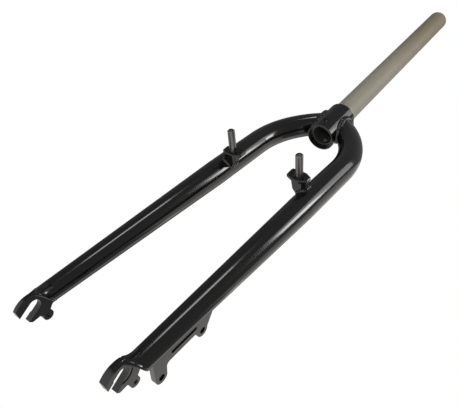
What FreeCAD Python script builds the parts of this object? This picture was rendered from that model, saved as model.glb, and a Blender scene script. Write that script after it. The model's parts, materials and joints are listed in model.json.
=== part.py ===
"""Rigid welded steel mountain bike fork, in millimetres.

The row frame has X forward, Y to the rider's left and Z up along the steerer.
The origin is on the steerer axis at the top of the crown, where the crown race seats.
Pieces of the left leg are built in a frame of their own on the leg's axis.
The right leg's pieces are their mirror images.
"""
import FreeCAD, Part
import Sketcher
import math
import os

doc = FreeCAD.newDocument("mountain_bike_fork")

# Driving dimensions in millimetres and degrees
SIZES = {
    # Steerer tube and its crown race seat
    "steerer_od": 28.6,
    "steerer_wall": 1.8,
    "steerer_length": 338.0,
    "steerer_chamfer": 0.8,
    "race_seat_od": 30.0,
    "race_seat_height": 6.0,
    # Crown sleeve, with a counterbored mouth below the steerer's lower end
    "sleeve_od": 36.0,
    "sleeve_length": 57.0,
    "sleeve_chamfer": 1.0,
    "mouth_bore": 32.0,
    "mouth_depth": 3.5,
    "steerer_recess": 6.0,
    "crown_hole_od": 6.4,
    "crown_hole_rise": 14.0,
    # Leg axis: behind the steerer at crown height, leaning forward as it goes down
    "leg_setback": 6.0,
    "leg_offset": 55.8,
    "leg_lean": 6.4,
    # Blade tube: an arm out of the sleeve, ended short of the other arm, then a bend, a plain length
    # and a taper to a closed tip
    "blade_od": 28.6,
    "blade_wall": 1.6,
    "bend_radius": 113.5,
    "bend_angle": 47.5,
    "bend_drop": 112.2,
    "arm_gap": 1.0,
    "taper_drop": 196.0,
    "tip_od": 18.1,
    "bore_end_above_axle": 24.0,
    # Axle, measured along the leg from crown height and forward of the leg axis, and the tip's
    # slanted end, measured from the axle along the axle slot
    "axle_drop": 437.0,
    "axle_ahead": 2.3,
    "tip_above_axle": 9.4,
    # Dropout plates
    "hub_width": 100.0,
    "plate_thickness": 6.0,
    "tab_width": 11.6,
    "tab_height": 22.0,
    "slot_width": 11.4,
    "slot_tilt": 32.0,
    "prong_length": 13.8,
    "front_edge_radius": 18.4,
    "front_edge_bevel": 2.2,
    "shoulder_reach": 7.0,
    "face_recess_radius": 9.0,
    "face_recess_depth": 0.6,
    "front_prong_reach": 13.1,
    "front_prong_bevel": 3.1,
    "rear_prong_reach": 9.0,
    "rear_prong_bevel": 0.8,
    "eyelet_back": 19.0,
    "eyelet_up": 8.1,
    "eyelet_radius": 4.8,
    "eyelet_hole_od": 4.2,
    "notch_back": 14.0,
    "notch_up": 0.8,
    "neck_height": 14.5,
    "neck_inset": 1.5,
    # Disc brake mount, measured from the axle along and behind the leg
    "disc_plate_thickness": 5.5,
    "disc_hole_spacing": 51.0,
    "disc_hole_od": 6.2,
    "disc_hole_back": 38.3,
    "disc_hole_up": 30.5,
    "disc_line_tilt": 8.0,
    "disc_ear_radius": 6.3,
    "disc_waist_back": 28.0,
    "disc_top": 104.0,
    "window_back": 21.2,
    "window_width": 3.4,
    "window_low": 44.0,
    "window_high": 75.0,
    # Brake bosses, spring plates and studs
    "stud_spacing": 84.8,
    "stud_drop": 175.8,
    "stud_face": 40.0,
    "boss_half_height": 7.2,
    "boss_inboard": 7.2,
    "boss_outboard": 10.0,
    "boss_depth": 20.0,
    "boss_wall": 6.0,
    "heel_depth": 10.5,
    "boss_corner": 3.4,
    "spring_plate_thickness": 3.0,
    "spring_plate_inboard": 13.0,
    "spring_plate_outboard": 11.6,
    "spring_plate_half_height": 8.2,
    "spring_plate_bevel": 1.0,
    "spring_hole_od": 2.4,
    "spring_hole_radius": 8.9,
    "spring_hole_fan": 60.0,
    "stud_od": 8.0,
    "stud_length": 26.7,
    "stud_chamfer": 0.9,
    "stud_bore": 5.0,
    "stud_bore_depth": 16.0,
    "collar_od": 9.2,
    "collar_length": 4.0,
    "shank_length": 9.0,
}

SHEET_NAME = "Sizes"
FULL_TURN = 360.0
SPRING_HOLE_COUNT = 3


class Size:
    """A number together with the sheet expression that gives it."""

    def __init__(self, value, text):
        self.value = value
        self.text = text

    def __add__(self, other):
        return join(self, "+", other, self.value + as_size(other).value)

    def __radd__(self, other):
        return as_size(other) + self

    def __sub__(self, other):
        return join(self, "-", other, self.value - as_size(other).value)

    def __rsub__(self, other):
        return as_size(other) - self

    def __mul__(self, other):
        return join(self, "*", other, self.value * as_size(other).value)

    def __rmul__(self, other):
        return as_size(other) * self

    def __truediv__(self, other):
        return join(self, "/", other, self.value / as_size(other).value)

    def __neg__(self):
        return Size(-self.value, f"(-{self.text})")


def as_size(number):
    """Return a Size as it is, and a plain number as a Size."""
    if isinstance(number, Size):
        return number
    return Size(number, f"({number})")


def join(left, sign, right, value):
    """Return the Size of two terms and the sign between them."""
    return Size(value, f"({left.text} {sign} {as_size(right).text})")


def sine(angle):
    return Size(math.sin(math.radians(angle.value)), f"sin({angle.text} * 1 deg)")


def cosine(angle):
    return Size(math.cos(math.radians(angle.value)), f"cos({angle.text} * 1 deg)")


class SizeTable:
    """The driving dimensions, each as a Size named like its sheet cell."""

    def __init__(self, sizes):
        for alias, value in sizes.items():
            setattr(self, alias, Size(value, f"{SHEET_NAME}.{alias}"))


def make_sheet():
    """Write the driving dimensions to a spreadsheet, one aliased cell each."""
    sheet = doc.addObject("Spreadsheet::Sheet", SHEET_NAME)
    for row, (alias, value) in enumerate(SIZES.items(), start=1):
        sheet.set(f"A{row}", str(value))
        sheet.setAlias(f"A{row}", alias)
    doc.recompute()


make_sheet()
s = SizeTable(SIZES)


def bind(item, prop, size):
    """Tie a property, or one sketch dimension, to the sheet."""
    item.setExpression(prop, as_size(size).text)


def new_body(label):
    return doc.addObject("PartDesign::Body", label)


def set_on_leg(body, leaning):
    """Put the body's frame on the left leg's axis at crown height, along the leg or upright."""
    if leaning:
        backward = FreeCAD.Vector(0, -1, 0)
        body.Placement = FreeCAD.Placement(FreeCAD.Vector(), FreeCAD.Rotation(backward, s.leg_lean.value))
        bind(body, "Placement.Rotation.Angle", s.leg_lean)
    bind(body, "Placement.Base.x", -s.leg_setback)
    bind(body, "Placement.Base.y", s.leg_offset)


def origin_plane(body, role):
    """Find one of the body's own origin planes."""
    for feature in body.Origin.OriginFeatures:
        if feature.Role == role:
            return feature
    raise LookupError(role)


def new_sketch(body, name, role, shift=(0, 0, 0), turn_axis=None, turn=s.leg_lean):
    """Attach a sketch to an origin plane, shifted and, where an axis is given, turned about it."""
    sketch = body.newObject("Sketcher::SketchObject", name)
    sketch.AttachmentSupport = (origin_plane(body, role), [""])
    sketch.MapMode = "FlatFace"
    if turn_axis is not None:
        rotation = FreeCAD.Rotation(turn_axis, turn.value)
        sketch.AttachmentOffset = FreeCAD.Placement(FreeCAD.Vector(), rotation)
        bind(sketch, "AttachmentOffset.Rotation.Angle", turn)
    for axis, distance in zip("xyz", shift):
        if isinstance(distance, Size):
            bind(sketch, f"AttachmentOffset.Base.{axis}", distance)
    return sketch


def pin_point(sketch, geometry, end, point):
    """Fix one point of a sketch by its two distances from the sketch's origin."""
    for kind, axis, distance in (("DistanceX", -2, point[0]), ("DistanceY", -1, point[1])):
        if isinstance(distance, Size):
            fix = Sketcher.Constraint(kind, -1, 1, geometry, end, distance.value)
            index = sketch.addConstraint(fix)
            bind(sketch, f"Constraints[{index}]", distance)
        else:
            sketch.addConstraint(Sketcher.Constraint("PointOnObject", geometry, end, axis))


def as_vector(point):
    return FreeCAD.Vector(as_size(point[0]).value, as_size(point[1]).value, 0)


def arc_between(start, end, radius):
    """Return the shorter arc that runs counter-clockwise from start to end."""
    chord = end - start
    half = chord.Length / 2
    height = math.sqrt(max(radius ** 2 - half ** 2, 0))
    left = FreeCAD.Vector(-chord.y, chord.x, 0).normalize()
    centre = (start + end) / 2 + left * height
    circle = Part.Circle(centre, FreeCAD.Vector(0, 0, 1), radius)
    return Part.ArcOfCircle(circle, circle.parameter(start), circle.parameter(end))


def outline(sketch, corners, arcs=None):
    """Draw a closed outline through pinned corners.

    An edge is straight unless arcs gives a radius under its first corner's number. A positive
    radius bends the edge counter-clockwise, and a negative one clockwise.
    """
    arcs = arcs or {}
    points = [as_vector(corner) for corner in corners]
    ends = []
    for number, start in enumerate(points):
        end = points[(number + 1) % len(points)]
        if number not in arcs:
            index = sketch.addGeometry(Part.LineSegment(start, end))
            ends.append((index, 1, 2))
            continue
        radius = arcs[number]
        if radius.value > 0:
            index = sketch.addGeometry(arc_between(start, end, radius.value))
            ends.append((index, 1, 2))
        else:
            radius = -radius
            index = sketch.addGeometry(arc_between(end, start, radius.value))
            ends.append((index, 2, 1))
        fix = sketch.addConstraint(Sketcher.Constraint("Radius", index, radius.value))
        bind(sketch, f"Constraints[{fix}]", radius)
    for number, corner in enumerate(corners):
        index, first, last = ends[number]
        before, before_first, before_last = ends[number - 1]
        sketch.addConstraint(Sketcher.Constraint("Coincident", before, before_last, index, first))
        pin_point(sketch, index, first, corner)


def circle(sketch, centre, radius):
    """Draw a circle round a pinned centre."""
    normal = FreeCAD.Vector(0, 0, 1)
    index = sketch.addGeometry(Part.Circle(as_vector(centre), normal, radius.value))
    if isinstance(centre[0], Size) or isinstance(centre[1], Size):
        pin_point(sketch, index, 3, centre)
    else:
        sketch.addConstraint(Sketcher.Constraint("Coincident", index, 3, -1, 1))
    fix = sketch.addConstraint(Sketcher.Constraint("Radius", index, radius.value))
    bind(sketch, f"Constraints[{fix}]", radius)


def revolve(body, name, sketch, axis="V_Axis", angle=FULL_TURN, kind="PartDesign::Revolution"):
    """Turn a sketch round one of its axes, adding or cutting."""
    feature = body.newObject(kind, name)
    feature.Profile = sketch
    feature.ReferenceAxis = (sketch, [axis])
    if isinstance(angle, Size):
        bind(feature, "Angle", angle)
    else:
        feature.Angle = angle
    doc.recompute()
    return feature


def pad(body, name, sketch, length, side="Symmetric"):
    """Raise a sketch into a plate, half to each side or all along the sketch's normal."""
    feature = body.newObject("PartDesign::Pad", name)
    feature.Profile = sketch
    feature.SideType = side
    bind(feature, "Length", length)
    doc.recompute()
    return feature


def cut_through(body, name, sketch):
    """Cut a sketch through everything, both ways."""
    feature = body.newObject("PartDesign::Pocket", name)
    feature.Profile = sketch
    feature.Type = "ThroughAll"
    feature.SideType = "Symmetric"
    doc.recompute()
    return feature


def cut_blind(body, name, sketch, depth):
    """Cut a sketch to a depth against its normal."""
    feature = body.newObject("PartDesign::Pocket", name)
    feature.Profile = sketch
    bind(feature, "Length", depth)
    doc.recompute()
    return feature


def round_corners(body, name, base, along, places, radius):
    """Fillet the straight edges that run along a direction at the given places of its plane.

    along is 0 for X or 1 for Y, and places are pairs of the two other coordinates.
    """
    others = [axis for axis in range(3) if axis != along]
    wanted = [tuple(as_size(value).value for value in place) for place in places]
    names = []
    for number, edge in enumerate(base.Shape.Edges, start=1):
        if len(edge.Vertexes) != 2:
            continue
        ends = [vertex.Point for vertex in edge.Vertexes]
        for place in wanted:
            gaps = [abs(end[axis] - value) for end in ends for axis, value in zip(others, place)]
            if max(gaps) < EDGE_TOLERANCE:
                names.append(f"Edge{number}")
    feature = body.newObject("PartDesign::Fillet", name)
    feature.Base = (base, names)
    bind(feature, "Radius", radius)
    doc.recompute()
    return feature


EDGE_TOLERANCE = 0.01


def bevel(body, name, base, wanted, size):
    """Chamfer the edges that a test picks."""
    feature = body.newObject("PartDesign::Chamfer", name)
    feature.Base = (base, [f"Edge{n}" for n, edge in enumerate(base.Shape.Edges, start=1) if wanted(edge)])
    bind(feature, "Size", size)
    doc.recompute()
    return feature


# Radii that several pieces share
steerer_r = s.steerer_od / 2
steerer_bore_r = steerer_r - s.steerer_wall
sleeve_r = s.sleeve_od / 2
blade_r = s.blade_od / 2
tip_r = s.tip_od / 2
stud_r = s.stud_od / 2


def tip_line(ahead):
    """Return how far above the axle the tip's slanted end lies, at a place ahead of the axle."""
    return (s.tip_above_axle - sine(s.slot_tilt) * ahead) / cosine(s.slot_tilt)


def on_slot(along, across):
    """Return a point of the dropout given along and across its axle slot."""
    x = cosine(s.slot_tilt) * across - sine(s.slot_tilt) * along
    z = -sine(s.slot_tilt) * across - cosine(s.slot_tilt) * along
    return x, z


# The tube's blank ends just below the slanted cut's front
TIP_ALLOWANCE = as_size(1.0)
tip_drop = s.axle_drop - tip_line(tip_r - s.axle_ahead) + TIP_ALLOWANCE

# The dropout plate's middle and outer face, inboard of the leg axis
plate_depth = s.leg_offset - s.hub_width / 2 - s.plate_thickness / 2
plate_outer = plate_depth - s.plate_thickness / 2


def drill_crown(body):
    """Drill the cross hole, front to rear, through the sleeve and the steerer."""
    sketch = new_sketch(body, "cross_hole_sketch", "YZ_Plane")
    circle(sketch, (0, s.crown_hole_rise - s.sleeve_length), s.crown_hole_od / 2)
    cut_through(body, "cross_hole", sketch)


def make_steerer_tube():
    """Turn the steerer: a plain tube with a stouter seat for the crown race at crown height."""
    body = new_body("steerer_tube")
    seat_r = s.race_seat_od / 2
    foot = s.steerer_recess - s.sleeve_length
    sketch = new_sketch(body, "steerer_section", "XZ_Plane")
    outline(sketch, [
        (steerer_bore_r, foot),
        (steerer_r, foot),
        (steerer_r, 0),
        (seat_r, 0),
        (seat_r, s.race_seat_height),
        (steerer_r, s.race_seat_height + seat_r - steerer_r),
        (steerer_r, s.steerer_length - s.steerer_chamfer),
        (steerer_r - s.steerer_chamfer, s.steerer_length),
        (steerer_bore_r, s.steerer_length),
    ])
    revolve(body, "steerer_turned", sketch)
    drill_crown(body)
    return body


def make_crown_sleeve():
    """Turn the sleeve: it holds the steerer, and its counterbored mouth stays open below."""
    body = new_body("crown_sleeve")
    mouth_r = s.mouth_bore / 2
    mouth_top = s.mouth_depth - s.sleeve_length
    sketch = new_sketch(body, "sleeve_section", "XZ_Plane")
    outline(sketch, [
        (steerer_r, 0),
        (sleeve_r - s.sleeve_chamfer, 0),
        (sleeve_r, -s.sleeve_chamfer),
        (sleeve_r, s.sleeve_chamfer - s.sleeve_length),
        (sleeve_r - s.sleeve_chamfer, -s.sleeve_length),
        (mouth_r, -s.sleeve_length),
        (mouth_r, mouth_top),
        (steerer_r, mouth_top),
    ])
    revolve(body, "sleeve_turned", sketch)
    drill_crown(body)
    return body


def make_left_blade():
    """Bend and taper the blade tube, mitre it to the sleeve, and close, slant and socket its tip."""
    body = new_body("left_blade")
    set_on_leg(body, leaning=True)
    bore_drop = s.axle_drop - s.bore_end_above_axle
    inner_r = blade_r - s.blade_wall

    leg = new_sketch(body, "leg_section", "XZ_Plane")
    outline(leg, [
        (blade_r, -s.bend_drop),
        (inner_r, -s.bend_drop),
        (inner_r, -s.taper_drop),
        (tip_r - s.blade_wall, -bore_drop),
        (0, -bore_drop),
        (0, -tip_drop),
        (tip_r, -tip_drop),
        (blade_r, -s.taper_drop),
    ])
    revolve(body, "leg_tube", leg)

    ring = new_sketch(body, "bend_ring", "XY_Plane", shift=(0, 0, -s.bend_drop))
    circle(ring, (0, 0), blade_r)
    circle(ring, (0, 0), inner_r)
    spindle = Part.LineSegment(as_vector((-blade_r, -s.bend_radius)), as_vector((blade_r, -s.bend_radius)))
    index = ring.addGeometry(spindle, True)
    pin_point(ring, index, 1, (-blade_r, -s.bend_radius))
    pin_point(ring, index, 2, (blade_r, -s.bend_radius))
    revolve(body, "bend_tube", ring, axis="Axis0", angle=s.bend_angle)

    inward = s.bend_radius * (1 - cosine(s.bend_angle))
    upward = s.bend_radius * sine(s.bend_angle)
    bend_end = (0, -inward, upward - s.bend_drop)
    arm = new_sketch(body, "arm_ring", "XY_Plane", bend_end, FreeCAD.Vector(1, 0, 0), s.bend_angle)
    circle(arm, (0, 0), blade_r)
    circle(arm, (0, 0), inner_r)
    to_steerer = (s.leg_offset - inward) / sine(s.bend_angle)
    pad(body, "arm_tube", arm, to_steerer + blade_r, side="One side")

    arm_end = s.arm_gap / 2 - s.leg_offset
    past_steerer = -s.leg_offset - s.blade_od
    trim = new_sketch(body, "arm_trim", "YZ_Plane")
    outline(trim, [
        (past_steerer, -s.bend_drop),
        (arm_end, -s.bend_drop),
        (arm_end, s.blade_od),
        (past_steerer, s.blade_od),
    ])
    cut_through(body, "arm_end", trim)

    sleeve_place = (s.leg_setback * cosine(s.leg_lean), -s.leg_offset, -s.leg_setback * sine(s.leg_lean))
    mitre = new_sketch(body, "sleeve_mitre", "XY_Plane", sleeve_place, FreeCAD.Vector(0, 1, 0))
    circle(mitre, (0, 0), sleeve_r)
    cut_through(body, "mitre", mitre)

    end = new_sketch(body, "tip_end_outline", "XZ_Plane", (s.axle_ahead, -s.axle_drop, 0))
    outline(end, [
        on_slot(-s.tip_above_axle, -s.blade_od),
        on_slot(s.tip_od, -s.blade_od),
        on_slot(s.tip_od, s.blade_od),
        on_slot(-s.tip_above_axle, s.blade_od),
    ])
    cut_through(body, "tip_end", end)

    tab_half = s.tab_width / 2
    socket = new_sketch(body, "tip_socket_outline", "XZ_Plane", (0, -s.axle_drop, plate_outer))
    outline(socket, [
        (-tab_half, 0),
        (tab_half, 0),
        (tab_half, s.tab_height),
        (-tab_half, s.tab_height),
    ])
    socket_cut = cut_blind(body, "tip_socket", socket, s.plate_thickness)
    socket_cut.Reversed = True
    doc.recompute()
    return body


def cope_to_leg(body, turn_axis=None):
    """Cut away what would lie inside the leg, so that the piece seats on the tube's outside."""
    sketch = new_sketch(body, "leg_outside", "XZ_Plane", turn_axis=turn_axis)
    outline(sketch, [
        (0, -s.bend_drop),
        (0, -tip_drop),
        (tip_r, -tip_drop),
        (blade_r, -s.taper_drop),
        (blade_r, -s.bend_drop),
    ])
    revolve(body, "leg_cope", sketch, kind="PartDesign::Groove")


def make_left_dropout():
    """Cut the dropout plate: tab, bevelled front edge, slot between two prongs, eyelet lug and axle face."""
    body = new_body("left_dropout")
    set_on_leg(body, leaning=True)
    at_axle = (s.axle_ahead, -s.axle_drop, plate_depth)
    slot_half = s.slot_width / 2
    tab_rear = -s.axle_ahead - s.tab_width / 2
    tab_front = s.tab_width / 2 - s.axle_ahead
    rear = s.neck_inset - s.axle_ahead - tip_r
    neck = (rear, s.neck_height)
    eyelet = (-s.eyelet_back, s.eyelet_up)
    rear_tip = on_slot(s.prong_length - s.rear_prong_bevel, -s.rear_prong_reach)

    plate = new_sketch(body, "plate_outline", "XZ_Plane", at_axle)
    outline(plate, [
        (tab_rear, s.tab_height),
        (tab_rear, tip_line(tab_rear)),
        (rear, tip_line(rear)),
        neck,
        eyelet,
        (-s.notch_back, s.notch_up),
        rear_tip,
        on_slot(s.prong_length, -slot_half),
        on_slot(s.prong_length, slot_half),
        on_slot(s.prong_length - s.front_prong_bevel, s.front_prong_reach),
        on_slot(-s.tip_above_axle, s.shoulder_reach),
        (tab_front, tip_line(tab_front)),
        (tab_front, s.tab_height),
    ], arcs={9: s.front_edge_radius})
    pad(body, "plate", plate, s.plate_thickness)

    lug = new_sketch(body, "lug_outline", "XZ_Plane", at_axle)
    circle(lug, eyelet, s.eyelet_radius)
    lug_pad = pad(body, "lug", lug, s.plate_thickness)

    def on_front_edge(edge):
        """Pick the outer face's front arc."""
        if edge.CenterOfMass.y < -plate_depth.value or edge.Curve.TypeId != "Part::GeomCircle":
            return False
        return abs(edge.Curve.Radius - s.front_edge_radius.value) < EDGE_TOLERANCE

    front_bevel = bevel(body, "front_edge", lug_pad, on_front_edge, s.front_edge_bevel)
    corners = [(s.axle_ahead + x, z - s.axle_drop) for x, z in (neck, rear_tip)]
    round_corners(body, "plate_corners", front_bevel, 1, corners, CORNER_ROUND)

    axle = new_sketch(body, "axle_end", "XZ_Plane", at_axle)
    circle(axle, (0, 0), slot_half)
    cut_through(body, "axle_round", axle)
    slot = new_sketch(body, "slot_outline", "XZ_Plane", at_axle)
    outline(slot, [
        on_slot(as_size(0), -slot_half),
        on_slot(s.prong_length * 2, -slot_half),
        on_slot(s.prong_length * 2, slot_half),
        on_slot(as_size(0), slot_half),
    ])
    cut_through(body, "axle_slot", slot)

    eyelet_hole = new_sketch(body, "eyelet_centre", "XZ_Plane", at_axle)
    circle(eyelet_hole, eyelet, s.eyelet_hole_od / 2)
    cut_through(body, "eyelet_hole", eyelet_hole)

    recess = new_sketch(body, "recess_outline", "XZ_Plane", (s.axle_ahead, -s.axle_drop, plate_outer))
    circle(recess, (0, 0), s.face_recess_radius)
    recess_cut = cut_blind(body, "axle_face", recess, s.face_recess_depth)
    recess_cut.Reversed = True
    doc.recompute()
    return body


CORNER_ROUND = as_size(2.5)


def make_disc_brake_mount():
    """Cut the disc brake plate: two drilled ears, a hollowed edge and a long window."""
    body = new_body("disc_brake_mount")
    set_on_leg(body, leaning=True)
    at_axle = (s.axle_ahead, -s.axle_drop, 0)
    low = (-s.disc_hole_back, s.disc_hole_up)
    high = (
        sine(s.disc_line_tilt) * s.disc_hole_spacing - s.disc_hole_back,
        cosine(s.disc_line_tilt) * s.disc_hole_spacing + s.disc_hole_up,
    )
    ear = s.disc_ear_radius
    waist = -s.disc_waist_back
    inside = -s.axle_ahead - tip_r / 2
    waist_low = (waist, low[1] + ear + DISC_WAIST_STEP)
    waist_high = (waist, high[1] - ear - DISC_WAIST_STEP)

    plate = new_sketch(body, "disc_plate_outline", "XZ_Plane", at_axle)
    outline(plate, [
        (inside, low[1] - ear),
        (low[0], low[1] - ear),
        (low[0], low[1] + ear),
        waist_low,
        waist_high,
        (high[0], high[1] - ear),
        (high[0], high[1] + ear),
        (inside, s.disc_top),
    ])
    pad(body, "disc_plate", plate, s.disc_plate_thickness)
    for name, centre in (("low_ear", low), ("high_ear", high)):
        disc = new_sketch(body, f"{name}_outline", "XZ_Plane", at_axle)
        circle(disc, centre, ear)
        last = pad(body, name, disc, s.disc_plate_thickness)
    waists = [(s.axle_ahead + x, z - s.axle_drop) for x, z in (waist_low, waist_high)]
    round_corners(body, "waist_rounds", last, 1, waists, DISC_WAIST_ROUND)

    for name, centre in (("low_hole", low), ("high_hole", high)):
        hole = new_sketch(body, f"{name}_centre", "XZ_Plane", at_axle)
        circle(hole, centre, s.disc_hole_od / 2)
        cut_through(body, name, hole)

    half = s.window_width / 2
    sides = (-s.window_back - half, half - s.window_back)
    window = new_sketch(body, "window_outline", "XZ_Plane", at_axle)
    outline(window, [
        (sides[0], s.window_low),
        (sides[1], s.window_low),
        (sides[1], s.window_high),
        (sides[0], s.window_high),
    ])
    window_cut = cut_through(body, "window", window)
    ends = [(x, z) for x in sides for z in (s.window_low, s.window_high)]
    ends = [(s.axle_ahead + x, z - s.axle_drop) for x, z in ends]
    round_corners(body, "window_ends", window_cut, 1, ends, half * WINDOW_ROUNDNESS)
    cope_to_leg(body)
    return body


DISC_WAIST_STEP = as_size(1.0)
DISC_WAIST_ROUND = as_size(4.0)
WINDOW_ROUNDNESS = 0.95

# Places of the brake stud in the upright frame on the left leg
stud_side = s.stud_spacing / 2 - s.leg_offset
seat_x = s.stud_face + s.leg_setback
boss_front = seat_x - s.spring_plate_thickness


def make_left_brake_boss():
    """Cut the boss that stands on the front of the blade and holds the stud's shank."""
    body = new_body("left_brake_boss")
    set_on_leg(body, leaning=False)
    half = s.boss_half_height
    corner = s.boss_corner
    base = (stud_side, -s.stud_drop, boss_front - s.boss_depth)
    section = new_sketch(body, "boss_section", "YZ_Plane", base)
    outline(section, [
        (-s.boss_inboard, corner - half),
        (corner - s.boss_inboard, -half),
        (s.boss_outboard - corner, -half),
        (s.boss_outboard, corner - half),
        (s.boss_outboard, half - corner),
        (s.boss_outboard - corner, half),
        (corner - s.boss_inboard, half),
        (-s.boss_inboard, half - corner),
    ])
    pad(body, "boss", section, s.boss_depth, side="One side")

    heel_y = stud_side - s.boss_inboard
    heel_x = boss_front - s.boss_depth
    heel = new_sketch(body, "heel_outline", "XY_Plane")
    outline(heel, [
        (heel_x, heel_y),
        (boss_front - s.boss_wall, heel_y),
        (heel_x, heel_y + s.heel_depth),
    ])
    cut_through(body, "heel", heel)

    shank = new_sketch(body, "shank_centre", "YZ_Plane", (stud_side, -s.stud_drop, boss_front))
    circle(shank, (0, 0), stud_r)
    cut_blind(body, "shank_hole", shank, s.shank_length)
    cope_to_leg(body, FreeCAD.Vector(0, 0, 1))
    return body


def make_left_spring_plate():
    """Cut the plate on the boss, with its inboard wing and a fan of spring holes."""
    body = new_body("left_spring_plate")
    set_on_leg(body, leaning=False)
    at_stud = (stud_side, -s.stud_drop, boss_front)
    half = s.spring_plate_half_height
    inboard = -s.spring_plate_inboard
    outboard = s.spring_plate_outboard
    shoulder = stud_r
    corners = [
        (inboard, -half * WING_TAPER),
        (-shoulder, -half),
        (shoulder, -half),
        (outboard, -half * WING_TAPER),
        (outboard, half * WING_TAPER),
        (shoulder, half),
        (inboard, half),
    ]
    plate = new_sketch(body, "spring_plate_outline", "YZ_Plane", at_stud)
    outline(plate, corners)
    plate_pad = pad(body, "spring_plate", plate, s.spring_plate_thickness, side="One side")
    places = [(stud_side + y, z - s.stud_drop) for y, z in corners]
    rounded = round_corners(body, "spring_plate_corners", plate_pad, 0, places, WING_ROUND)

    def on_front_rim(edge):
        """Pick the edges round the plate's front face."""
        return edge.BoundBox.XMin > seat_x.value - EDGE_TOLERANCE

    bevel(body, "spring_plate_rim", rounded, on_front_rim, s.spring_plate_bevel)

    centre = new_sketch(body, "stud_centre", "YZ_Plane", at_stud)
    circle(centre, (0, 0), stud_r)
    cut_through(body, "stud_hole", centre)

    first = s.spring_hole_fan / 2
    hole = new_sketch(body, "spring_hole_centre", "YZ_Plane", at_stud)
    place = (-cosine(first) * s.spring_hole_radius, sine(first) * s.spring_hole_radius)
    circle(hole, place, s.spring_hole_od / 2)
    hole_cut = cut_through(body, "spring_hole", hole)
    fan = body.newObject("PartDesign::PolarPattern", "spring_holes")
    fan.Originals = [hole_cut]
    fan.Axis = (hole, ["N_Axis"])
    fan.Occurrences = SPRING_HOLE_COUNT
    bind(fan, "Angle", s.spring_hole_fan)
    body.Tip = fan
    doc.recompute()
    return body


WING_TAPER = 0.5
WING_ROUND = as_size(2.5)


def make_left_brake_stud():
    """Turn the brake stud: shank, collar, post and the bore for the brake's bolt."""
    body = new_body("left_brake_stud")
    set_on_leg(body, leaning=False)
    tip_x = seat_x + s.stud_length
    collar_x = seat_x + s.collar_length
    bore_x = tip_x - s.stud_bore_depth
    collar_r = s.collar_od / 2
    bore_r = s.stud_bore / 2
    axis_place = (0, -s.stud_drop, -stud_side)
    section = new_sketch(body, "stud_section", "XZ_Plane", axis_place)
    outline(section, [
        (boss_front - s.shank_length, 0),
        (bore_x, 0),
        (bore_x, bore_r),
        (tip_x, bore_r),
        (tip_x, stud_r - s.stud_chamfer),
        (tip_x - s.stud_chamfer, stud_r),
        (collar_x, stud_r),
        (collar_x, collar_r),
        (seat_x, collar_r),
        (seat_x, stud_r),
        (boss_front - s.shank_length, stud_r),
    ])
    revolve(body, "stud_turned", section, axis="H_Axis")
    return body


def mirror(label, source):
    """Return the right leg's twin of a left leg's piece."""
    twin = doc.addObject("Part::Mirroring", label)
    twin.Source = source
    twin.Normal = FreeCAD.Vector(0, 1, 0)
    return twin


def check_document():
    """Stop if any object of the document failed to recompute."""
    for item in doc.Objects:
        if "Invalid" in item.State or "Error" in item.State:
            raise RuntimeError(f"{item.Name} failed: {item.State}")


def check_piece(piece):
    """Stop if a piece is empty or broken, or isn't one solid."""
    shape = piece.Shape
    if shape.isNull() or not shape.isValid() or len(shape.Solids) != 1:
        raise RuntimeError(f"{piece.Label} is not one valid solid")


def main():
    left = [
        make_left_blade(),
        make_left_dropout(),
        make_left_brake_boss(),
        make_left_spring_plate(),
        make_left_brake_stud(),
    ]
    right = [mirror(piece.Label.replace("left", "right"), piece) for piece in left]
    pieces = [make_steerer_tube(), make_crown_sleeve(), *left, *right, make_disc_brake_mount()]
    doc.recompute()
    check_document()
    for piece in pieces:
        check_piece(piece)
    os.makedirs("parts", exist_ok=True)
    for piece in pieces:
        piece.Shape.exportStep(f"parts/{piece.Label}.step")
        box = piece.Shape.BoundBox
        print(f"{piece.Label}: {piece.Shape.Volume:.0f} mm3, "
              f"x {box.XMin:.1f} to {box.XMax:.1f}, y {box.YMin:.1f} to {box.YMax:.1f}, "
              f"z {box.ZMin:.1f} to {box.ZMax:.1f}")


main()
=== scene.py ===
# %% [markdown]
# # A rigid mountain bike fork, dressed for the camera
# The fork's solids come from CAD as a fixed frame, in metres: X forward, Y to the rider's left and
# Z up along the steerer. The origin is on the steerer axis at the top of the crown. This lesson adds
# what CAD leaves out: weld beads, dressed tips, screw threads, paint and metal finishes, a camera and
# soft light.

# %% Load the solids
import json
import math

import bpy
import numpy as np
from mathutils import Matrix, Vector


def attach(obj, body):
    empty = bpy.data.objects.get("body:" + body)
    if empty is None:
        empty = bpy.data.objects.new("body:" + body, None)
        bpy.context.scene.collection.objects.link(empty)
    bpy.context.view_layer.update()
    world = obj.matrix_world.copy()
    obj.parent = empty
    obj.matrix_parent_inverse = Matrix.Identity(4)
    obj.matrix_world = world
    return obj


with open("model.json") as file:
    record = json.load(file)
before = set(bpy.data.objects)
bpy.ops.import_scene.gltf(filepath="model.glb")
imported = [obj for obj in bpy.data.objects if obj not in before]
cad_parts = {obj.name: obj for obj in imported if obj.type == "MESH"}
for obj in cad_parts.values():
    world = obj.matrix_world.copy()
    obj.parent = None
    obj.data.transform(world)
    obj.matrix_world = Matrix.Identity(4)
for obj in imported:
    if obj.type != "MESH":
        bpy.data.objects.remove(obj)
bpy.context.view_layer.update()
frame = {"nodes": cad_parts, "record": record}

nodes = frame["nodes"]

# %% [markdown]
# ## The camera
# The photograph looks up at the fork from in front, from the left and from below the axle. Its place
# was worked out from the straight edges of the tubes, so the camera is given by its position and by
# the directions of its right, up and back axes. No lens shift is needed.

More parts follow.
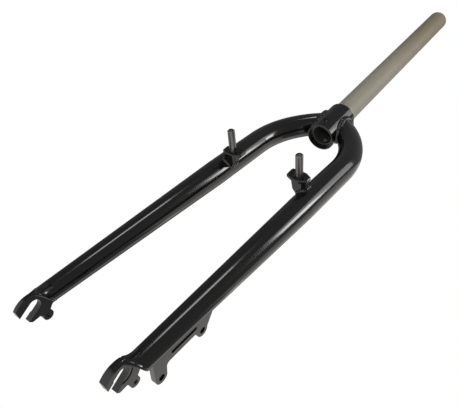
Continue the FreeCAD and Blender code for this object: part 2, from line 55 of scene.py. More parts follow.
# %% Place the camera
IMAGE_WIDTH = 458
FOCAL_PIXELS = 488.9
SENSOR_WIDTH = 36.0
CLIP_START = 0.01
CAMERA_PLACE = Vector((0.36003, 0.24404, -0.50886))
CAMERA_RIGHT = Vector((-0.090434, 0.790159, 0.606193))
CAMERA_UP = Vector((0.734841, -0.357891, 0.576128))
CAMERA_BACK = Vector((0.672184, 0.497557, -0.548276))

camera_data = bpy.data.cameras.new("photo_camera")
camera_data.sensor_width = SENSOR_WIDTH
camera_data.sensor_fit = "HORIZONTAL"
camera_data.lens = FOCAL_PIXELS * SENSOR_WIDTH / IMAGE_WIDTH
camera_data.clip_start = CLIP_START
camera = bpy.data.objects.new("photo_camera", camera_data)
axes = Matrix((CAMERA_RIGHT, CAMERA_UP, CAMERA_BACK)).transposed()
camera.matrix_world = Matrix.Translation(CAMERA_PLACE) @ axes.to_4x4()
bpy.context.collection.objects.link(camera)
bpy.context.scene.camera = camera
print("lens:", round(camera_data.lens, 2), "mm")

# %% [markdown]
# ## The studio
# Gloss black shows only what it mirrors, so the lights matter more than the paint. Each lamp is given
# as the fork sees it: its azimuth from straight ahead towards the left, its height above level, how
# wide and high it looks, all in degrees, and how bright it is beside white paper. A small box with a
# glow round it and a second box in front draw the bright lines along the blades. A wide, slightly warm
# panel behind, in two steps, lights the faces that look left. A soft spot from above brightens the
# floor, and the floor lights the undersides. The world is white to the camera and a dim grey to
# everything else, so the paint stays black.

# %% Floor, world and lights
FLOOR_HEIGHT = -0.66
FLOOR_HALF = 14.0
WORLD_DIM = 0.15
WORLD_GREY = 0.27
DIM_UP_TO = -0.9
GREY_FROM = 0.3
WHITE = (1, 1, 1, 1)
AIM = Vector((0.02, 0.02, -0.2))
LAMP_DISTANCE = 3.0
SPOT_PLACE = (0.28, 0.28, 2.4)
SPOT_POWER = 100.0
SPOT_ANGLE = math.radians(44)
SPOT_BLEND = 1.0
SPOT_SOFTNESS = 0.4
NEUTRAL = (1.0, 1.0, 1.0)
WARM = (1.0, 0.97, 0.91)

SOFT_BOXES = {
    # name: (azimuth, height, width, tallness, brightness, tint)
    "side_box": (70, 44, 15, 10, 9.0, NEUTRAL),
    "side_glow": (62, 50, 26, 22, 2.4, NEUTRAL),
    "front_box": (-3, 29, 10, 14, 6.5, NEUTRAL),
    "rear_panel": (144, 41, 56, 36, 0.60, WARM),
    "rear_low_panel": (159, 14, 26, 22, 0.62, WARM),
}


def make_floor():
    """Make one square sheet level with the floor height."""
    corners = np.array([(-1, -1), (1, -1), (1, 1), (-1, 1)]) * FLOOR_HALF
    points = np.column_stack([corners, np.full(len(corners), FLOOR_HEIGHT)])
    mesh = bpy.data.meshes.new("floor")
    mesh.from_pydata(points.tolist(), [], [(0, 1, 2, 3)])
    floor = bpy.data.objects.new("floor", mesh)
    bpy.context.collection.objects.link(floor)
    return floor


def make_soft_box(name, azimuth, height, width, tallness, brightness, tint):
    """Hang a rectangular lamp facing the fork.

    A side seen under an angle is twice the distance times the tangent of half that angle. A lamp's
    power is its brightness times its area times pi.
    """
    turn = math.radians(azimuth)
    rise = math.radians(height)
    level = math.cos(rise)
    direction = Vector((level * math.cos(turn), level * math.sin(turn), math.sin(rise)))
    lamp = bpy.data.lights.new(name, "AREA")
    lamp.shape = "RECTANGLE"
    lamp.size = 2 * LAMP_DISTANCE * math.tan(math.radians(width / 2))
    lamp.size_y = 2 * LAMP_DISTANCE * math.tan(math.radians(tallness / 2))
    lamp.energy = brightness * math.pi * lamp.size * lamp.size_y
    lamp.color = tint
    box = bpy.data.objects.new(name, lamp)
    box.location = AIM + direction * LAMP_DISTANCE
    box.rotation_euler = direction.to_track_quat("Z", "Y").to_euler()
    box.visible_camera = False
    bpy.context.collection.objects.link(box)


def make_floor_spot():
    """Hang a soft spot that lights the floor near the fork but leaves no shine on the paint."""
    lamp = bpy.data.lights.new("floor_spot", "SPOT")
    lamp.energy = SPOT_POWER
    lamp.spot_size = SPOT_ANGLE
    lamp.spot_blend = SPOT_BLEND
    lamp.shadow_soft_size = SPOT_SOFTNESS
    spot = bpy.data.objects.new("floor_spot", lamp)
    spot.location = SPOT_PLACE
    spot.visible_glossy = False
    bpy.context.collection.objects.link(spot)


def make_world():
    """Show white to the camera and a grey to reflections that is dimmer on the right, at -Y."""
    world = bpy.data.worlds.new("studio")
    world.use_nodes = True
    tree = world.node_tree
    way = tree.nodes.new("ShaderNodeTexCoord")
    parts = tree.nodes.new("ShaderNodeSeparateXYZ")
    grey = tree.nodes.new("ShaderNodeMapRange")
    grey.inputs["From Min"].default_value = DIM_UP_TO
    grey.inputs["From Max"].default_value = GREY_FROM
    grey.inputs["To Min"].default_value = WORLD_DIM
    grey.inputs["To Max"].default_value = WORLD_GREY
    rays = tree.nodes.new("ShaderNodeLightPath")
    mix = tree.nodes.new("ShaderNodeMix")
    mix.data_type = "RGBA"
    mix.inputs["B"].default_value = WHITE
    tree.links.new(way.outputs["Generated"], parts.inputs["Vector"])
    tree.links.new(parts.outputs["Y"], grey.inputs["Value"])
    tree.links.new(grey.outputs["Result"], mix.inputs["A"])
    tree.links.new(rays.outputs["Is Camera Ray"], mix.inputs["Factor"])
    tree.links.new(mix.outputs["Result"], tree.nodes["Background"].inputs["Color"])
    bpy.context.scene.world = world


floor = make_floor()
make_world()
make_floor_spot()
for box_name, box_facts in SOFT_BOXES.items():
    make_soft_box(box_name, *box_facts)
bpy.context.scene.view_settings.view_transform = "Standard"
print("lights: floor_spot,", ", ".join(SOFT_BOXES))

# %% [markdown]
# ## Shader maths in Python
# A node tree is hard to read as code. This small class wraps one socket, so that `1 - mask * 0.5` adds
# the Math nodes by itself, and any other node is added by naming its type, settings and inputs.

# %% Wrap a socket
class Signal:
    """One output socket of a material. Operators on it add Math nodes."""

    def __init__(self, tree, socket):
        self.tree = tree
        self.socket = socket

    def node(self, kind, settings=None, inputs=None, output=0):
        """Add a node, set its settings first, then its inputs' values or links."""
        node = self.tree.nodes.new(kind)
        for name, setting in (settings or {}).items():
            setattr(node, name, setting)
        for name, given in (inputs or {}).items():
            if isinstance(given, Signal):
                self.tree.links.new(given.socket, node.inputs[name])
            else:
                node.inputs[name].default_value = given
        return Signal(self.tree, node.outputs[output])

    def math(self, operation, first, second):
        """Add a Math node with two inputs."""
        return self.node("ShaderNodeMath", {"operation": operation}, {0: first, 1: second})

    def __add__(self, other):
        return self.math("ADD", self, other)

    __radd__ = __add__

    def __mul__(self, other):
        return self.math("MULTIPLY", self, other)

    __rmul__ = __mul__

    def __sub__(self, other):
        return self.math("SUBTRACT", self, other)

    def __rsub__(self, other):
        return self.math("SUBTRACT", other, self)

    def noise(self, scale, detail=2.0, roughness=0.5):
        """Return a smooth random value from 0 to 1 over these coordinates."""
        inputs = {"Vector": self, "Scale": scale, "Detail": detail, "Roughness": roughness}
        return self.node("ShaderNodeTexNoise", None, inputs)

    def stretch(self, scale):
        """Return these coordinates scaled by a different amount on each axis."""
        return self.node("ShaderNodeMapping", None, {"Vector": self, "Scale": scale})

    def ramp(self, low, high):
        """Return 0 below low, 1 above high and a smooth rise between."""
        settings = {"interpolation_type": "SMOOTHSTEP"}
        inputs = {"Value": self, "From Min": low, "From Max": high}
        return self.node("ShaderNodeMapRange", settings, inputs)

    def mix(self, first, second):
        """Return a colour that goes from the first to the second as this value goes from 0 to 1."""
        inputs = {"Factor": self, "A": first, "B": second}
        return self.node("ShaderNodeMix", {"data_type": "RGBA"}, inputs, output="Result")

    def blend(self, dark, light):
        """Return a colour between two fixed ones by this value."""
        return self.mix((*dark, 1), (*light, 1))

    def bump(self, strength, distance):
        """Return a normal that this height tilts."""
        inputs = {"Height": self, "Strength": strength, "Distance": distance}
        return self.node("ShaderNodeBump", None, inputs)


class Finish:
    """A material with one Principled shader, and its Object coordinates as a Signal."""

    def __init__(self, name, **constants):
        self.material = bpy.data.materials.new(name)
        self.material.use_nodes = True
        self.tree = self.material.node_tree
        self.shader = self.tree.nodes["Principled BSDF"]
        for socket, value in constants.items():
            self.shader.inputs[socket.replace("_", " ")].default_value = value
        coordinates = self.tree.nodes.new("ShaderNodeTexCoord")
        self.place = Signal(self.tree, coordinates.outputs["Object"])

    def feed(self, **links):
        """Link each signal to the shader's socket of that name."""
        for socket, signal in links.items():
            self.tree.links.new(signal.socket, self.shader.inputs[socket.replace("_", " ")])


print("shader helpers ready")

# %% [markdown]
# ## Gloss black paint
# The blades, crown and small fittings are sprayed black over steel. The paint is smooth and mirror-like
# but not perfect: it has a faint orange peel about a millimetre across, slow changes in gloss and a
# little dust. A clear coat over a dark base gives the two strengths of reflection.

# %% Make the paint
PEEL_SCALE = 620.0
PEEL_STRENGTH = 0.006
PEEL_DEPTH = 0.0002
HAZE_SCALE = 42.0
DUST_SCALE = 2400.0
DUST_BAND = (0.70, 0.78)
PAINT_DARK = (0.0025, 0.0025, 0.0027)
PAINT_LIGHT = (0.0070, 0.0068, 0.0066)
PAINT_ROUGHNESS = 0.09


def make_black_paint():
    """Dark base, haze in the roughness, sparse dust in the colour, orange peel in the normal."""
    finish = Finish("gloss_black_paint", IOR=1.5, Coat_Weight=0.15, Coat_Roughness=0.03)
    haze = finish.place.noise(HAZE_SCALE, 3.0)
    dust = finish.place.noise(DUST_SCALE, 1.0).ramp(*DUST_BAND)
    tone = finish.place.noise(HAZE_SCALE / 3, 2.0)
    peel = finish.place.noise(PEEL_SCALE, 1.0)
    finish.feed(
        Base_Color=(tone * 0.7 + dust * 0.5).blend(PAINT_DARK, PAINT_LIGHT),
        Roughness=PAINT_ROUGHNESS + haze * 0.07 + dust * 0.12,
        Normal=peel.bump(PEEL_STRENGTH, PEEL_DEPTH),
    )
    return finish.material


black_paint = make_black_paint()
print("made", black_paint.name)

# %% [markdown]
# ## Bare steerer steel
# The steerer is left unpainted. It has the warm, matt grey of drawn tube under a thin phosphate film:
# faint lines along its length, cloudy patches and a browner cast towards the top. The turned band for
# the crown race is a little smoother. Below the crown's top edge the spray gun reached into the open
# end, so the tube is black inside and on its lower rim. One material holds both, mixed by height.

# %% Make the steel
DRAW_STRETCH = (1.0, 1.0, 0.012)
DRAW_SCALE = 900.0
CLOUD_SCALE = 26.0
SEAT_BAND = (0.0055, 0.0065)
BROWN_BAND = (0.05, 0.34)
SPRAY_BAND = (-0.030, -0.002)
LOW_STEEL = ((0.27, 0.248, 0.202), (0.44, 0.404, 0.330))
HIGH_STEEL = ((0.19, 0.159, 0.102), (0.32, 0.270, 0.178))
SPRAYED_STEEL = ((0.030, 0.029, 0.027), (0.065, 0.062, 0.056))
STEEL_METAL = 0.30
SPRAYED_ROUGHNESS = 0.30
STEEL_ROUGHER = 0.32
DRAW_STRENGTH = 0.10
DRAW_DEPTH = 0.0004


def make_bare_steel():
    """Cloudy warm grey metal with draw lines, smoother on the race seat and black below it."""
    finish = Finish("bare_steerer_steel", IOR=1.6)
    cloud = finish.place.noise(CLOUD_SCALE, 4.0, 0.6)
    lines = finish.place.stretch(DRAW_STRETCH).noise(DRAW_SCALE, 2.0)
    grain = finish.place.noise(DRAW_SCALE * 1.5, 1.0)
    height = finish.place.node("ShaderNodeSeparateXYZ", None, {"Vector": finish.place}, output="Z")
    seat = 1 - height.ramp(*SEAT_BAND)
    bare = height.ramp(*SPRAY_BAND)
    tone = cloud * 0.55 + lines * 0.25 + grain * 0.20
    low_steel = tone.blend(*LOW_STEEL)
    high_steel = tone.blend(*HIGH_STEEL)
    steel = height.ramp(*BROWN_BAND).mix(low_steel, high_steel)
    sprayed = tone.blend(*SPRAYED_STEEL)
    finish.feed(
        Base_Color=bare.mix(sprayed, steel),
        Metallic=bare * STEEL_METAL,
        Roughness=SPRAYED_ROUGHNESS + bare * STEEL_ROUGHER + cloud * 0.10 - seat * bare * 0.10,
        Normal=(lines + grain * 0.5).bump(DRAW_STRENGTH, DRAW_DEPTH),
    )
    return finish.material


bare_steel = make_bare_steel()
print("made", bare_steel.name)

# %% [markdown]
# ## Blackened stud steel
# The brake studs are turned from steel and thinly blackened, so they still shine like metal and show
# fine rings from the lathe. The rings run round the stud's own axis, which is along X.

# %% Make the stud finish
TURNED_STRETCH = (1.0, 0.004, 0.004)
TURNED_SCALE = 2600.0
SMUDGE_SCALE = 180.0
STUD_DARK = (0.07, 0.069, 0.068)
STUD_LIGHT = (0.25, 0.244, 0.236)
STUD_ROUGHNESS = 0.13
RING_STRENGTH = 0.08
RING_DEPTH = 0.0003


def make_stud_steel():
    """Dark satin metal whose turning rings change only along X."""
    finish = Finish("blackened_stud_steel", Metallic=0.90, IOR=1.6)
    rings = finish.place.stretch(TURNED_STRETCH).noise(TURNED_SCALE, 1.0)
    smudge = finish.place.noise(SMUDGE_SCALE, 3.0)
    finish.feed(
        Base_Color=(rings * 0.5 + smudge * 0.5).blend(STUD_DARK, STUD_LIGHT),
        Roughness=STUD_ROUGHNESS + smudge * 0.12,
        Normal=rings.bump(RING_STRENGTH, RING_DEPTH),
    )
    return finish.material


stud_steel = make_stud_steel()

FINISHES = {"black_paint": black_paint, "bare_steel": bare_steel, "stud_steel": stud_steel}
for subpart in frame["record"]["subparts"]:
    mesh = nodes[subpart["node"]].data
    mesh.materials.clear()
    mesh.materials.append(FINISHES[subpart["material_slot"]])

# %% [markdown]
# ## The studio floor's finish
# The floor is a pale matt sheet with only a trace of tone in it, so it never competes with the fork.

# %% Finish the floor
FLOOR_SCALE = 1.2
FLOOR_GREY = (0.90, 0.90, 0.90)
FLOOR_PALE = (0.95, 0.95, 0.945)
FLOOR_GLOW = 0.30


def make_floor_finish():
    """Pale matt grey with a very slow change of tone, and an even glow that keeps it pale far away."""
    finish = Finish("pale_floor", Roughness=0.9, Emission_Color=WHITE, Emission_Strength=FLOOR_GLOW)
    tone = finish.place.noise(FLOOR_SCALE, 2.0)
    finish.feed(Base_Color=tone.blend(FLOOR_GREY, FLOOR_PALE))
    return finish.material


floor.data.materials.append(make_floor_finish())
print("floor finish:", floor.data.materials[0].name)

# %% [markdown]
# ## A bead carried along a path
# Every weld is the same idea: a bead of metal laid along the line where two pieces meet. The torch
# stops and starts, so the bead swells and pinches every two to four millimetres. One function carries
# a flattened round profile along any line, with the ripples in its size. The bead closes on itself, or
# its ends shrink to points.

# %% Carry a bead
BEAD_SIDES = 14
SWELL_STEPS = 8
LEAST_STEPS = 8
FINE_PITCH = 0.0021
RIPPLE = 0.05
RIPPLE_SKEW = 0.9
FLATNESS = 0.75
END_TAPER = 0.0022


def unit(vectors):
    """Scale each row to length 1."""
    return vectors / np.linalg.norm(vectors, axis=-1, keepdims=True)


def path_lengths(path):
    """Return each point's distance from the line's start, along the line."""
    return np.concatenate([[0.0], np.cumsum(np.linalg.norm(np.diff(path, axis=0), axis=1))])


def resample(values, lengths, wanted):
    """Return the values at the wanted lengths, one coordinate at a time."""
    return np.column_stack([np.interp(wanted, lengths, values[:, k]) for k in range(3)])


def bead_surface(path, outward, radius, pitch, closed):
    """Return a rippled tube as a grid of points.

    At the length s along the path and the angle v round it, the point is the path's own point plus
    a radius times sin v of the sideways direction and a flatter cos v of the outward one. It swells
    as a cosine of s, by a share of the pitch and a whole number of times, and the swelling trails
    behind at the bead's sides.
    """
    given = path_lengths(path)
    count = max(int(given[-1] / (pitch / SWELL_STEPS)), LEAST_STEPS)
    lengths = np.linspace(0.0, given[-1], count + 1)
    line = resample(path, given, lengths)
    away = resample(outward, given, lengths)
    along = unit(np.gradient(line, axis=0))
    away = unit(away - along * np.sum(away * along, axis=1, keepdims=True))
    side = np.cross(along, away)
    angle = np.linspace(0.0, 2 * math.pi, BEAD_SIDES, endpoint=False)
    swells = 2 * math.pi * round(lengths[-1] / pitch) / lengths[-1]
    phase = swells * lengths[:, None] + RIPPLE_SKEW * (1 - np.cos(angle))[None, :]
    size = radius + RIPPLE * pitch * np.cos(phase)
    if not closed:
        to_end = np.minimum(lengths, lengths[-1] - lengths)
        size = size * np.sqrt(np.clip(to_end / END_TAPER, 0.0, 1.0))[:, None]
    lift = FLATNESS * np.cos(angle)[None, :, None] * away[:, None, :]
    ring = lift + np.sin(angle)[None, :, None] * side[:, None, :]
    return line[:, None, :] + size[:, :, None] * ring


def grid_faces(rows, columns, closed):
    """Return the four corners of every face of a grid that closes round its columns.

    A closed grid also joins its last row to its first.
    """
    row = np.arange(rows if closed else rows - 1)
    column = np.arange(columns)
    first, second = np.meshgrid(row, column, indexing="ij")
    next_row = (first + 1) % rows
    next_column = (second + 1) % columns
    corners = [first * columns + second, next_row * columns + second,
               next_row * columns + next_column, first * columns + next_column]
    return np.stack(corners, axis=-1).reshape(-1, 4)


MIRROR = np.array([1.0, -1.0, 1.0])
SIDES = (("left", False), ("right", True))


def mesh_piece(name, grids, finish, mirrored=False):
    """Put grids of points into one smooth mesh that rides on the fork.

    Each grid comes with its faces. A mirrored piece has its Y turned over and its faces reversed.
    """
    points, faces, offset = [], [], 0
    for grid, corners in grids:
        flat = grid.reshape(-1, 3)
        points.append(flat * MIRROR if mirrored else flat)
        faces.append((corners[:, ::-1] if mirrored else corners) + offset)
        offset += len(flat)
    mesh = bpy.data.meshes.new(name)
    mesh.from_pydata(np.concatenate(points).tolist(), [], np.concatenate(faces).tolist())
    mesh.polygons.foreach_set("use_smooth", np.ones(len(mesh.polygons), dtype=bool))
    mesh.materials.append(finish)
    piece = bpy.data.objects.new(name, mesh)
    bpy.context.collection.objects.link(piece)
    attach(piece, "root")
    return piece


def bead(path, outward, radius, pitch=FINE_PITCH, closed=False):
    """Return a bead's grid and faces, ready for mesh_piece."""
    grid = bead_surface(path, outward, radius, pitch, closed)
    if closed:
        grid = grid[:-1]
    return grid, grid_faces(grid.shape[0], grid.shape[1], closed)


def mirrored_pair(kind, grids, finish):
    """Make the left piece, and the right one as its mirror image."""
    for side_name, is_right in SIDES:
        mesh_piece(f"{side_name}_{kind}", grids, finish, is_right)


print("bead sides:", BEAD_SIDES)

# %% [markdown]
# ## Where the pieces meet
# The left leg has a frame of its own: it starts beside the steerer at crown height and leans forward
# as it goes down. These few sizes are the CAD model's, in metres, and a helper turns points of the
# leg's frame into points of the fork's.

# %% The leg's frame
LEAN = math.radians(6.4)
LEG_START = np.array([-0.0060, 0.0558, 0.0])
SLEEVE_RADIUS = 0.0180
BLADE_RADIUS = 0.0143
TIP_RADIUS = 0.00905
BEND_RADIUS = 0.1135
BEND_ANGLE = math.radians(47.5)
BEND_DROP = 0.1122
TAPER_DROP = 0.1960
TIP_DROP = 0.4311
AXLE_DROP = 0.4370
AXLE_AHEAD = 0.0023
PLATE_INNER = -0.0058
PLATE_OUTER = 0.0002
LEG_AXES = np.array([
    [math.cos(LEAN), 0.0, math.sin(LEAN)],
    [0.0, 1.0, 0.0],
    [-math.sin(LEAN), 0.0, math.cos(LEAN)],
])


def from_leg(points):
    """Turn points of the leg's frame into points of the fork's frame."""
    return points @ LEG_AXES + LEG_START


def leg_radius(height):
    """Return the blade's radius at a height of the leg's frame, from its straight taper."""
    share = np.clip((-height - TAPER_DROP) / (TIP_DROP - TAPER_DROP), 0.0, 1.0)
    return BLADE_RADIUS + (TIP_RADIUS - BLADE_RADIUS) * share


print("axle at", from_leg(np.array([AXLE_AHEAD, 0.0, -AXLE_DROP])))

# %% [markdown]
# ## Crown welds
# Each arm runs into the crown sleeve, and the joint is a saddle-shaped line where one round tube meets
# another. A point on the arm's skin is pushed along the arm until its distance from the steerer axis
# is the sleeve's radius, which is a quadratic with one useful root. The arm's rear edge just misses
# the sleeve, and there the root is taken at the nearest approach, so the two welds close up behind.
# The line is kept from going further back than one place, so that the bead stays inside the box of
# the solids.

# %% Weld the arms to the crown
CROWN_BEAD = 0.0043
CROWN_PITCH = 0.0036
CROWN_STEPS = 220
CROWN_BACK = -0.0152


def arm_line():
    """Return a point on the left arm's axis and the axis's direction, up towards the crown."""
    inward = BEND_RADIUS * (1 - math.cos(BEND_ANGLE))
    upward = BEND_RADIUS * math.sin(BEND_ANGLE) - BEND_DROP
    start = from_leg(np.array([0.0, -inward, upward]))
    return start, np.array([0.0, -math.sin(BEND_ANGLE), math.cos(BEND_ANGLE)]) @ LEG_AXES


def crown_joint():
    """Return the line where the arm meets the sleeve, and the direction out of the corner."""
    start, along = arm_line()
    across = LEG_AXES[0]
    upright = np.cross(along, across)
    angle = np.linspace(0.0, 2 * math.pi, CROWN_STEPS)
    skin = np.cos(angle)[:, None] * across + np.sin(angle)[:, None] * upright
    points = start + BLADE_RADIUS * skin
    a = along[0] ** 2 + along[1] ** 2
    b = 2 * (points[:, 0] * along[0] + points[:, 1] * along[1])
    c = points[:, 0] ** 2 + points[:, 1] ** 2 - SLEEVE_RADIUS ** 2
    travel = (-b - np.sqrt(np.maximum(b ** 2 - 4 * a * c, 0.0))) / (2 * a)
    line = points + travel[:, None] * along
    sleeve_out = unit(line * np.array([1.0, 1.0, 0.0]))
    line[:, 0] = np.maximum(line[:, 0], CROWN_BACK)
    return line, unit(skin + sleeve_out)


crown_line, crown_out = crown_joint()
crown_bead = bead(crown_line, crown_out, CROWN_BEAD, CROWN_PITCH, closed=True)
mirrored_pair("crown_weld", [crown_bead], black_paint)
print("crown weld reaches from z", crown_line[:, 2].min(), "to", crown_line[:, 2].max())

# %% [markdown]
# ## The seam behind the crown
# The two arms end a millimetre apart behind the sleeve, and a short upright bead closes the gap. The
# arm's cut end is an ellipse: its half-width is the blade's radius and its half-height is that radius
# over the sine of the bend. The bead follows the ellipse's rear with its crest just under the skin.

# %% Close the seam
SEAM_BEAD = 0.0013
SEAM_SUNK = 0.0011
SEAM_SPREAD = math.radians(28.0)
SEAM_STEPS = 60


def seam_line():
    """Return points along the rear of the ellipse in the middle plane, and the way out of it."""
    start, along = arm_line()
    middle = start - along * (start[1] / along[1])
    angle = np.linspace(-SEAM_SPREAD, SEAM_SPREAD, SEAM_STEPS)
    out = np.column_stack([-np.cos(angle), np.zeros_like(angle), np.sin(angle)])
    reach = np.array([BLADE_RADIUS, 0.0, BLADE_RADIUS / math.sin(BEND_ANGLE)])
    return middle + out * (reach - SEAM_SUNK), out


seam = bead(*seam_line(), SEAM_BEAD)
mesh_piece("crown_seam_weld", [seam], black_paint)
print("seam weld reaches back to x", seam[0][..., 0].min())

# %% [markdown]
# ## Boss welds
# The brake boss stands on the front of the blade. Its foot is a rounded block, so the weld's line is
# the foot's outline dropped along X onto the blade.

# %% Weld the brake bosses
BOSS_BEAD = 0.0026
BOSS_PITCH = 0.0030
BOSS_CENTRE = np.array([0.04765, -0.1758])
BOSS_HALF = np.array([0.0050, 0.0074])
BOSS_ROUND = 0.62
BLADE_EDGE = 0.97
BOSS_STEPS = 160
BOSS_ARC = np.linspace(0.0, 2 * math.pi, BOSS_STEPS)


def boss_joint():
    """Return the line where the boss meets the blade.

    The outline is a superellipse: cosine and sine of the angle, each with its size raised to a
    power below one, which squares the corners. X is the blade's front at that place.
    """
    cosine, sine = np.cos(BOSS_ARC), np.sin(BOSS_ARC)
    y = BOSS_CENTRE[0] + BOSS_HALF[0] * np.sign(cosine) * np.abs(cosine) ** BOSS_ROUND
    z = BOSS_CENTRE[1] + BOSS_HALF[1] * np.sign(sine) * np.abs(sine) ** BOSS_ROUND
    across = np.clip((y - LEG_START[1]) / BLADE_RADIUS, -BLADE_EDGE, BLADE_EDGE)
    x = LEG_START[0] - z * math.tan(LEAN) + BLADE_RADIUS * np.sqrt(1 - across ** 2) / math.cos(LEAN)
    line = np.column_stack([x, y, z])
    blade_out = np.column_stack([np.sqrt(1 - across ** 2), across, np.zeros_like(across)])
    boss_out = unit(np.column_stack([np.zeros_like(y), y - BOSS_CENTRE[0], z - BOSS_CENTRE[1]]))
    return line, unit(blade_out + boss_out)


boss_line, boss_out = boss_joint()
boss_bead = bead(boss_line, boss_out, BOSS_BEAD, BOSS_PITCH, closed=True)
mirrored_pair("boss_weld", [boss_bead], black_paint)
print("boss weld length:", path_lengths(boss_line)[-1])

# %% [markdown]
# ## Tip welds
# The blade's tip is closed and cut on a slant, and the dropout plate stands in a socket in it. The weld
# is one closed loop: along the slant on one face of the plate, through the plate near its rear edge,
# back along the other face, and up in the corner between the plate's front shoulder and the tube.

# %% Weld the tips
TIP_BEAD = 0.0013
SLANT = math.radians(32.0)
SLANT_RISE = 0.0094
PLATE_REAR = -0.0080
RUN_STEPS = 60


def slant_height(ahead):
    """Return the slanted end's height above the axle, at a place ahead of the axle."""
    return (SLANT_RISE - math.sin(SLANT) * ahead) / math.cos(SLANT)


def tip_joint():
    """Return the closed line where the tip meets the plate, and the direction out of the corner.

    The two faces give straight runs at constant Y. The rear run goes straight across the plate's
    thickness, and the front run follows the tube's circle from one face to the other.
    """
    reach = math.sqrt(TIP_RADIUS ** 2 - PLATE_INNER ** 2)
    share = np.linspace(0.0, 1.0, RUN_STEPS, endpoint=False)
    level = np.ones_like(share)
    turn = math.asin(PLATE_INNER / TIP_RADIUS) * (1 - share)
    ahead = np.concatenate([
        TIP_RADIUS - AXLE_AHEAD + share * (PLATE_REAR - TIP_RADIUS + AXLE_AHEAD),
        level * PLATE_REAR,
        PLATE_REAR + share * (reach - AXLE_AHEAD - PLATE_REAR),
        TIP_RADIUS * np.cos(turn) - AXLE_AHEAD,
    ])
    side = np.concatenate([
        level * PLATE_OUTER,
        PLATE_OUTER + share * (PLATE_INNER - PLATE_OUTER),
        level * PLATE_INNER,
        TIP_RADIUS * np.sin(turn),
    ])
    zero = np.zeros_like(share)
    slant_out = np.array([math.sin(SLANT), 0.0, math.cos(SLANT)])
    out = np.concatenate([
        np.column_stack([zero, level, zero]) - slant_out,
        np.column_stack([-level, zero, zero]) - slant_out,
        np.column_stack([zero, -level, zero]) - slant_out,
        np.column_stack([np.cos(turn), np.sin(turn), zero]) + slant_out,
    ])
    line = np.column_stack([ahead + AXLE_AHEAD, side, slant_height(ahead) - AXLE_DROP])
    return from_leg(line), unit(out) @ LEG_AXES


tip_line, tip_out = tip_joint()
tip_line = np.concatenate([tip_line, tip_line[:1]])
tip_out = np.concatenate([tip_out, tip_out[:1]])
tip_bead = bead(tip_line, tip_out, TIP_BEAD, closed=True)
mirrored_pair("tip_weld", [tip_bead], black_paint)
print("tip weld length:", path_lengths(tip_line)[-1])

# %% [markdown]
# ## Tip collars
# Before painting, each tip was dressed smooth: the tube's end is rounded over onto the plate, and in
# front it swells out to meet the plate's shoulder without a step. This is one grid wrapped round the
# tube. Its rows come down the wall, bulge inwards to the plate's two faces and close up again inside
# the metal. Its columns go round. The bulge is deepest in front, where the tip is fullest in the
# photograph.

# %% Round the tips
COLLAR_SIDES = 120
WALL_ROWS = 34
ROLL_ROWS = 11
COLLAR_HEIGHT = 0.0130
COLLAR_PROUD = 0.00030
COLLAR_SUNK = 0.00020
COLLAR_EDGE = 0.22
COLLAR_LOW = 0.0010
FLARE = 0.0054
FLARE_TURN = math.radians(-18.0)
FLARE_NARROW = 8
FLARE_FALL = 2.2
FACE_SUNK = 0.0003
FILL_LEAST = 0.0004
FILL_MOST = 0.0034
FILL_TURN = math.radians(8.0)
FILL_SPREAD = math.radians(50.0)


def collar_surface():
    """Return the dressed tip as a grid of points in the leg's frame.

    At a height above the slanted end and a turn round the tube, the radius is the blade's own, less
    a little so that it stays under the skin, and only near the end it swells just above it. A flare
    is added at the front: its size falls with the height and with a power of the turn's cosine.
    The last rows are a quarter of an ellipse that goes from the wall to the nearer face of the
    plate, and its depth is a bell curve of the turn.
    """
    fall = np.linspace(1.0, 0.0, WALL_ROWS)
    roll = np.linspace(0.0, math.pi / 2, ROLL_ROWS + 1)[1:, None]
    turn = np.linspace(-math.pi, math.pi, COLLAR_SIDES, endpoint=False)
    rise = (COLLAR_LOW + (COLLAR_HEIGHT - COLLAR_LOW) * fall)[:, None]
    edge = np.clip(1 - fall / COLLAR_EDGE, 0.0, 1.0)
    swell = ((COLLAR_PROUD + COLLAR_SUNK) * edge ** 2 * (3 - 2 * edge) - COLLAR_SUNK)[:, None]
    height = slant_height(TIP_RADIUS * np.cos(turn) - AXLE_AHEAD)[None, :] + rise - AXLE_DROP
    front = np.maximum(np.cos(turn - FLARE_TURN), 0.0) ** FLARE_NARROW
    flare = FLARE * np.clip(1 - rise / COLLAR_HEIGHT, 0.0, 1.0) ** FLARE_FALL * front[None, :]
    radius = leg_radius(height) + swell + flare
    ahead = radius * np.cos(turn)
    side = radius * np.sin(turn)
    fill = FILL_LEAST + FILL_MOST * np.exp(-((turn - FILL_TURN) / FILL_SPREAD) ** 2)
    target = np.clip(side[-1], PLATE_INNER + FACE_SUNK, PLATE_OUTER - FACE_SUNK)
    roll_side = side[-1] + (target - side[-1]) * (1 - np.cos(roll))
    roll_rise = COLLAR_LOW - (COLLAR_LOW + fill) * np.sin(roll)
    ahead = np.concatenate([ahead, np.repeat(ahead[-1:], len(roll), axis=0)])
    side = np.concatenate([side, roll_side])
    rise = np.concatenate([np.repeat(rise, COLLAR_SIDES, axis=1), roll_rise])
    return np.stack([ahead, side, slant_height(ahead - AXLE_AHEAD) + rise - AXLE_DROP], axis=-1)


collar = from_leg(collar_surface())
collar_faces = grid_faces(collar.shape[0], collar.shape[1], closed=True)
mirrored_pair("tip_collar", [(collar, collar_faces)], black_paint)
print("collar rows and columns:", collar.shape[:2])

# %% [markdown]
# ## Disc mount welds
# The disc plate stands on the back of the left blade and has a slim bead on both of its faces, from
# its lower ear to its tapering top.

# %% Weld the disc mount
DISC_BEAD = 0.0013
DISC_HALF = 0.00275
DISC_LOW = 0.0255
DISC_HIGH = 0.0985
DISC_STEPS = 160
DISC_SPAN = np.linspace(DISC_LOW, DISC_HIGH, DISC_STEPS) - AXLE_DROP


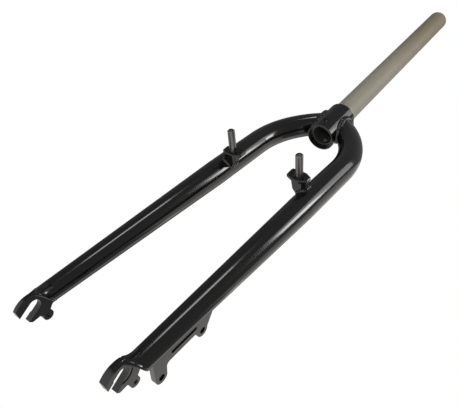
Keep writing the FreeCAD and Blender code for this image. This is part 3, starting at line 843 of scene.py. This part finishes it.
def disc_joint(sign):
    """Return the line on the blade's back beside one face of the plate, and the way out of it."""
    side = np.full_like(DISC_SPAN, sign * DISC_HALF)
    back = -np.sqrt(leg_radius(DISC_SPAN) ** 2 - side ** 2)
    line = np.column_stack([back, side, DISC_SPAN])
    blade_out = unit(np.column_stack([back, side, np.zeros_like(back)]))
    return from_leg(line), unit(blade_out + np.array([0.0, sign, 0.0])) @ LEG_AXES


disc_beads = [bead(*disc_joint(sign), DISC_BEAD) for sign in (1.0, -1.0)]
mesh_piece("disc_mount_welds", disc_beads, black_paint)
print("disc mount welds:", len(disc_beads))

# %% [markdown]
# ## Screw threads
# The brake bolt screws into the end of each stud, and a mudguard stay's screw into each eyelet. A
# thread is a ridge wound round the hole: going along the hole by one pitch for each turn, the surface
# rises from the wall to the crest and falls back.

# %% Wind the threads
THREAD_SIDES = 28
RIDGE_SHARE = np.array([0.02, 0.42, 0.58, 0.98])
RIDGE_HEIGHT = np.array([-0.1, 1.0, 1.0, -0.1])


def thread_surface(radius, depth, pitch, length):
    """Return an inside thread along +X as a grid of points.

    At the turn t and the share v across one pitch, the place along the hole is pitch times t plus v,
    and the radius is the hole's less the depth times a ridge that peaks at the middle of v.
    """
    turn = np.linspace(0.0, length / pitch - 1, int(length / pitch - 1) * THREAD_SIDES + 1)
    angle = 2 * math.pi * turn[:, None]
    reach = radius - depth * RIDGE_HEIGHT[None, :]
    along = pitch * (turn[:, None] + RIDGE_SHARE[None, :])
    return np.stack([along, reach * np.cos(angle), reach * np.sin(angle)], axis=-1)


def strip_faces(rows, columns):
    """Return the faces of a grid that is open both ways."""
    first, second = np.meshgrid(np.arange(rows - 1), np.arange(columns - 1), indexing="ij")
    corner = first * columns + second
    faces = np.stack([corner, corner + 1, corner + columns + 1, corner + columns], axis=-1)
    return faces.reshape(-1, 4)


STUD_MOUTH = np.array([0.0667, 0.0424, -0.1758])
STUD_THREAD = dict(radius=0.0025, depth=0.00042, pitch=0.0010, length=0.0150)
STUD_INSET = 0.0006
STUD_LEAD = np.array([STUD_THREAD["length"] + STUD_INSET, 0.0, 0.0])
EYELET_BEHIND = 0.0190
EYELET_ABOVE = 0.0081
EYELET_FACE = 0.0502
EYELET_PLACE = from_leg(np.array([AXLE_AHEAD - EYELET_BEHIND, 0.0, EYELET_ABOVE - AXLE_DROP]))
EYELET_THREAD = dict(radius=0.0021, depth=0.00036, pitch=0.0008, length=0.0056)

stud_thread = thread_surface(**STUD_THREAD)
stud_thread = stud_thread + STUD_MOUTH - STUD_LEAD
eyelet_thread = thread_surface(**EYELET_THREAD)[..., [1, 0, 2]] * np.array([-1.0, 1.0, 1.0])
eyelet_thread = eyelet_thread + np.array([EYELET_PLACE[0], EYELET_FACE, EYELET_PLACE[2]])
THREADS = (("stud", stud_thread, "stud_steel"), ("eyelet", eyelet_thread, "black_paint"))
for side_name, is_right in SIDES:
    for hole, grid, slot in THREADS:
        thread = (grid, strip_faces(grid.shape[0], grid.shape[1]))
        mesh_piece(f"{side_name}_{hole}_thread", [thread], FINISHES[slot], is_right)
print("thread turns:", STUD_THREAD["length"] / STUD_THREAD["pitch"])
